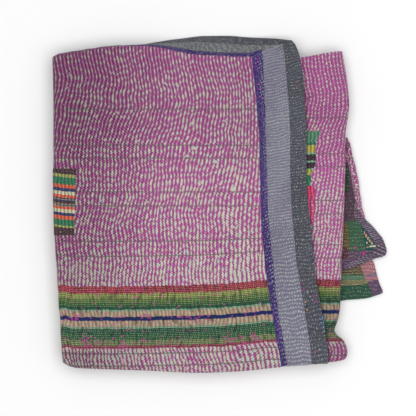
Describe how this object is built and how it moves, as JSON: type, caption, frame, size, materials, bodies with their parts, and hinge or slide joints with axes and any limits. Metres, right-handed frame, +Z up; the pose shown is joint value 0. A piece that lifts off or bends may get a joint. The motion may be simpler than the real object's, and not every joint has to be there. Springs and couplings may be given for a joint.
{
  "type": "folded kantha quilt",
  "caption": "Folded running-stitch quilt of old sari cloth with striped bands, plain strip borders, sewn patches and a loose bound corner, lying flat.",
  "frame": {"origin": "centre of the folded quilt's box in plan, on the surface it lies on", "axes": "+X towards the loose flaps, +Y away from the near fold towards the bordered end, +Z up through the layers"},
  "size_m": [0.6014, 0.6058, 0.0495],
  "materials": {
    "quilted_field": "matt puckered cotton with pale running stitch",
    "purple_strip": "matt puckered cotton",
    "lavender_strip": "matt puckered cotton",
    "grey_strip": "matt puckered cotton",
    "pale_strip": "matt puckered cotton",
    "striped_patch": "matt striped cotton",
    "green_patch": "matt striped cotton",
    "pink_patch": "matt cotton",
    "binding": "matt puckered cotton"
  },
  "bodies": {
    "root": {"quilt_cloth": "quilted_field", "side_border_purple": "purple_strip", "side_border_lavender": "lavender_strip", "side_border_grey": "grey_strip", "end_border_purple": "purple_strip", "end_border_pale": "pale_strip", "end_border_grey": "grey_strip", "left_patch": "striped_patch", "right_patch": "green_patch", "right_patch_pink": "pink_patch", "flap_binding": "binding"}
  },
  "joints": []
}
